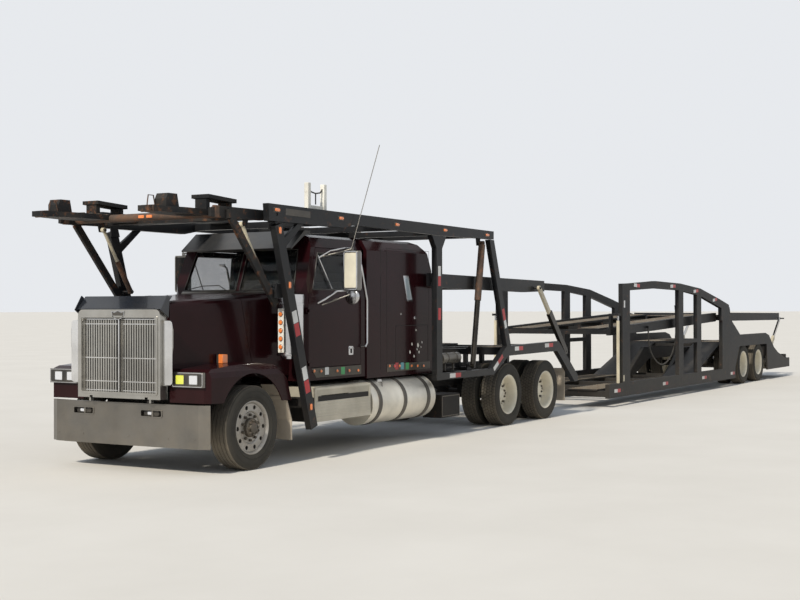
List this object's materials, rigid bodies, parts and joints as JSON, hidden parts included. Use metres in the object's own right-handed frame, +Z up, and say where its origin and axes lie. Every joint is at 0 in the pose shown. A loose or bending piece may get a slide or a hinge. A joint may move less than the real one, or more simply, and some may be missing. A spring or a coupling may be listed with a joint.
{
  "type": "car transporter truck",
  "caption": "Long-nose truck with an over-cab vehicle rack and a stinger-steered trailer with decks, rolling wheels, steering, doors, hood and lifting ramps.",
  "frame": {"origin": "on the ground, at the middle of the overall length and width", "axes": "+X forward along the truck, +Y towards the driver's side (its left), +Z up"},
  "size_m": [24.06, 2.9, 3.8872],
  "materials": {
    "frame_black": "dusty satin",
    "brushed_chrome": "brushed, dull bright",
    "bright_chrome": "bright",
    "engine_grey": "matt",
    "maroon_paint": "gloss",
    "window_glass": "clear dark",
    "cab_trim": "matt",
    "visor_black": "gloss",
    "cream_paint": "satin",
    "tank_aluminium": "dull",
    "flap_rubber": "dusty",
    "deck_black": "worn satin",
    "deflector_grey": "gloss",
    "tyre": "matt",
    "rim_aluminium": "satin",
    "rust_brown": "rusty",
    "rod_cream": "satin",
    "rod_chrome": "bright",
    "hose_rubber": "matt"
  },
  "bodies": {
    "tractor": {"chassis": "frame_black", "front_bumper": "brushed_chrome", "tractor_axles": "frame_black", "engine_block": "engine_grey", "cab": "maroon_paint", "sleeper": "maroon_paint", "cab_glass": "window_glass", "cab_interior": "cab_trim", "sun_visor": "visor_black", "step_boxes": "cream_paint", "fuel_tanks": "tank_aluminium", "air_cleaners": "bright_chrome", "mud_flaps": "flap_rubber", "wheel_deck": "deck_black", "rack_posts": "deck_black"},
    "hood": {"hood": "maroon_paint", "grille": "bright_chrome", "headlamps": "bright_chrome", "bug_deflector": "deflector_grey"},
    "door_left": {"door_left": "maroon_paint", "door_glass_left": "window_glass", "mirror_left": "bright_chrome"},
    "door_right": {"door_right": "maroon_paint", "door_glass_right": "window_glass", "mirror_right": "bright_chrome"},
    "knuckle_left": {"knuckle_left": "frame_black"},
    "knuckle_right": {"knuckle_right": "frame_black"},
    "front_wheel_left": {"front_tyre_left": "tyre", "front_rim_left": "rim_aluminium"},
    "front_wheel_right": {"front_tyre_right": "tyre", "front_rim_right": "rim_aluminium"},
    "rack": {"rack": "deck_black"},
    "rack_lift_barrels": {"rack_lift_barrels": "rust_brown"},
    "rack_lift_rods": {"rack_lift_rods": "deck_black"},
    "head_ramp": {"head_ramp": "deck_black"},
    "ramp_lift_barrels": {"ramp_lift_barrels": "deck_black"},
    "ramp_lift_rods": {"ramp_lift_rods": "rod_cream"},
    "rear_platform": {"rear_platform": "deck_black"},
    "platform_leg_tubes": {"platform_leg_tubes": "deck_black"},
    "platform_leg_rods": {"platform_leg_rods": "deck_black"},
    "trailer": {"trailer_frame": "deck_black", "trailer_floor": "deck_black", "trailer_tail": "deck_black", "deck_hose": "hose_rubber", "trailer_arches": "deck_black", "trailer_axles": "frame_black", "front_lift_barrels": "rod_cream"},
    "front_upper_deck": {"front_upper_deck": "deck_black"},
    "front_lift_rods": {"front_lift_rods": "rod_chrome"},
    "rear_upper_deck": {"rear_upper_deck": "deck_black"},
    "rear_leg_tubes": {"rear_leg_tubes": "deck_black"},
    "rear_leg_rods": {"rear_leg_rods": "deck_black"},
    "drive_wheel_1_left": {"drive_wheel_1_left": "tyre"},
    "drive_wheel_1_right": {"drive_wheel_1_right": "tyre"},
    "drive_wheel_2_left": {"drive_wheel_2_left": "tyre"},
    "drive_wheel_2_right": {"drive_wheel_2_right": "tyre"},
    "trailer_wheel_1_left": {"trailer_wheel_1_left": "tyre"},
    "trailer_wheel_1_right": {"trailer_wheel_1_right": "tyre"},
    "trailer_wheel_2_left": {"trailer_wheel_2_left": "tyre"},
    "trailer_wheel_2_right": {"trailer_wheel_2_right": "tyre"}
  },
  "joints": [
    {"name": "hood_tilt", "type": "hinge", "parent": "tractor", "child": "hood", "pos_m": [11.54, 0, 0.8], "axis": [0, 1, 0], "range_deg": [0, 70]},
    {"name": "door_left_swing", "type": "hinge", "parent": "tractor", "child": "door_left", "pos_m": [9.396, 1.047, 1.76], "axis": [0, 0, -1], "range_deg": [0, 70]},
    {"name": "door_right_swing", "type": "hinge", "parent": "tractor", "child": "door_right", "pos_m": [9.396, -1.047, 1.76], "axis": [0, 0, 1], "range_deg": [0, 70]},
    {"name": "steer_left", "type": "hinge", "parent": "tractor", "child": "knuckle_left", "pos_m": [10.66, 0.9, 0.475], "axis": [0, 0, 1], "range_deg": [-35, 35]},
    {"name": "steer_right", "type": "hinge", "parent": "tractor", "child": "knuckle_right", "pos_m": [10.66, -0.9, 0.475], "axis": [0, 0, 1], "range_deg": [-35.1, 35.1]},
    {"name": "front_wheel_left_spin", "type": "hinge", "parent": "knuckle_left", "child": "front_wheel_left", "pos_m": [10.66, 1.035, 0.475], "axis": [0, 1, 0], "continuous": true},
    {"name": "front_wheel_right_spin", "type": "hinge", "parent": "knuckle_right", "child": "front_wheel_right", "pos_m": [10.66, -1.035, 0.475], "axis": [0, 1, 0], "continuous": true},
    {"name": "drive_wheel_1_left_spin", "type": "hinge", "parent": "tractor", "child": "drive_wheel_1_left", "pos_m": [4.288, 0.917, 0.475], "axis": [0, 1, 0], "continuous": true},
    {"name": "drive_wheel_1_right_spin", "type": "hinge", "parent": "tractor", "child": "drive_wheel_1_right", "pos_m": [4.288, -0.917, 0.475], "axis": [0, 1, 0], "continuous": true},
    {"name": "drive_wheel_2_left_spin", "type": "hinge", "parent": "tractor", "child": "drive_wheel_2_left", "pos_m": [2.926, 0.917, 0.475], "axis": [0, 1, 0], "continuous": true},
    {"name": "drive_wheel_2_right_spin", "type": "hinge", "parent": "tractor", "child": "drive_wheel_2_right", "pos_m": [2.926, -0.917, 0.475], "axis": [0, 1, 0], "continuous": true},
    {"name": "trailer_yaw", "type": "hinge", "parent": "tractor", "child": "trailer", "pos_m": [1.21, 0, 0.52], "axis": [0, 0, 1], "range_deg": [-45, 45]},
    {"name": "trailer_wheel_1_left_spin", "type": "hinge", "parent": "trailer", "child": "trailer_wheel_1_left", "pos_m": [-8.12, 0.945, 0.46], "axis": [0, 1, 0], "continuous": true},
    {"name": "trailer_wheel_1_right_spin", "type": "hinge", "parent": "trailer", "child": "trailer_wheel_1_right", "pos_m": [-8.12, -0.945, 0.46], "axis": [0, 1, 0], "continuous": true},
    {"name": "trailer_wheel_2_left_spin", "type": "hinge", "parent": "trailer", "child": "trailer_wheel_2_left", "pos_m": [-9.37, 0.945, 0.46], "axis": [0, 1, 0], "continuous": true},
    {"name": "trailer_wheel_2_right_spin", "type": "hinge", "parent": "trailer", "child": "trailer_wheel_2_right", "pos_m": [-9.37, -0.945, 0.46], "axis": [0, 1, 0], "continuous": true},
    {"name": "rack_lift", "type": "hinge", "parent": "tractor", "child": "rack", "pos_m": [10.39, 0, 2.88], "axis": [0, 1, 0], "range_deg": [0, 6]},
    {"name": "rack_lift_barrels_turn", "type": "hinge", "parent": "rack", "child": "rack_lift_barrels", "pos_m": [5.246, 1.25, 2.763], "axis": [0, -1, 0], "range_deg": [0, 3.6]},
    {"name": "rack_lift_rods_extend", "type": "slide", "parent": "rack_lift_barrels", "child": "rack_lift_rods", "axis": [0.1672, 0, -0.9859], "range_m": [0, 0.54]},
    {"name": "head_ramp_lift", "type": "hinge", "parent": "tractor", "child": "head_ramp", "pos_m": [10.39, 0, 2.88], "axis": [0, -1, 0], "range_deg": [0, 12]},
    {"name": "ramp_lift_barrels_turn", "type": "hinge", "parent": "tractor", "child": "ramp_lift_barrels", "pos_m": [10.24, 1.05, 2.02], "axis": [0, -1, 0], "range_deg": [0, 1.4]},
    {"name": "ramp_lift_rods_extend", "type": "slide", "parent": "ramp_lift_barrels", "child": "ramp_lift_rods", "axis": [0.5361, 0, 0.8441], "range_m": [0, 0.07]},
    {"name": "rear_platform_lift", "type": "hinge", "parent": "tractor", "child": "rear_platform", "pos_m": [6.62, 0, 2.185], "axis": [0, 1, 0], "range_deg": [0, 5]},
    {"name": "platform_leg_tubes_turn", "type": "hinge", "parent": "tractor", "child": "platform_leg_tubes", "pos_m": [2.26, 1.255, 1.08], "axis": [0, -1, 0], "range_deg": [0, 7.2]},
    {"name": "platform_leg_rods_extend", "type": "slide", "parent": "platform_leg_tubes", "child": "platform_leg_rods", "axis": [0.6988, 0, 0.7153], "range_m": [0, 0.225]},
    {"name": "front_deck_lift", "type": "hinge", "parent": "trailer", "child": "front_upper_deck", "pos_m": [-6.29, 0, 1.61], "axis": [0, -1, 0], "range_deg": [0, 6]},
    {"name": "front_lift_rods_extend", "type": "slide", "parent": "trailer", "child": "front_lift_rods", "axis": [0, 0, 1], "range_m": [0, 0.645]},
    {"name": "rear_deck_lift", "type": "hinge", "parent": "trailer", "child": "rear_upper_deck", "pos_m": [-7.29, 0, 1.6], "axis": [0, 1, 0], "range_deg": [0, 5]},
    {"name": "rear_leg_tubes_turn", "type": "hinge", "parent": "trailer", "child": "rear_leg_tubes", "pos_m": [-10.04, 1.176, 0.33], "axis": [0, 1, 0], "range_deg": [0, 8.2]},
    {"name": "rear_leg_rods_extend", "type": "slide", "parent": "rear_leg_tubes", "child": "rear_leg_rods", "axis": [-0.7905, 0, 0.6125], "range_m": [0, 0.245]}
  ],
  "couplings": [
    {"joint": "steer_right", "follows": "steer_left", "ratio": 1},
    {"joint": "rack_lift_barrels_turn", "follows": "rack_lift", "ratio": 0.5736},
    {"joint": "rack_lift_rods_extend", "follows": "rack_lift", "m_per_rad": 5.0704},
    {"joint": "ramp_lift_barrels_turn", "follows": "head_ramp_lift", "ratio": 0.1059},
    {"joint": "ramp_lift_rods_extend", "follows": "head_ramp_lift", "m_per_rad": 0.3275},
    {"joint": "platform_leg_tubes_turn", "follows": "rear_platform_lift", "ratio": 1.4028},
    {"joint": "platform_leg_rods_extend", "follows": "rear_platform_lift", "m_per_rad": 2.5431},
    {"joint": "front_lift_rods_extend", "follows": "front_deck_lift", "m_per_rad": 6.09},
    {"joint": "rear_leg_tubes_turn", "follows": "rear_deck_lift", "ratio": 1.6149},
    {"joint": "rear_leg_rods_extend", "follows": "rear_deck_lift", "m_per_rad": 2.7636}
  ]
}
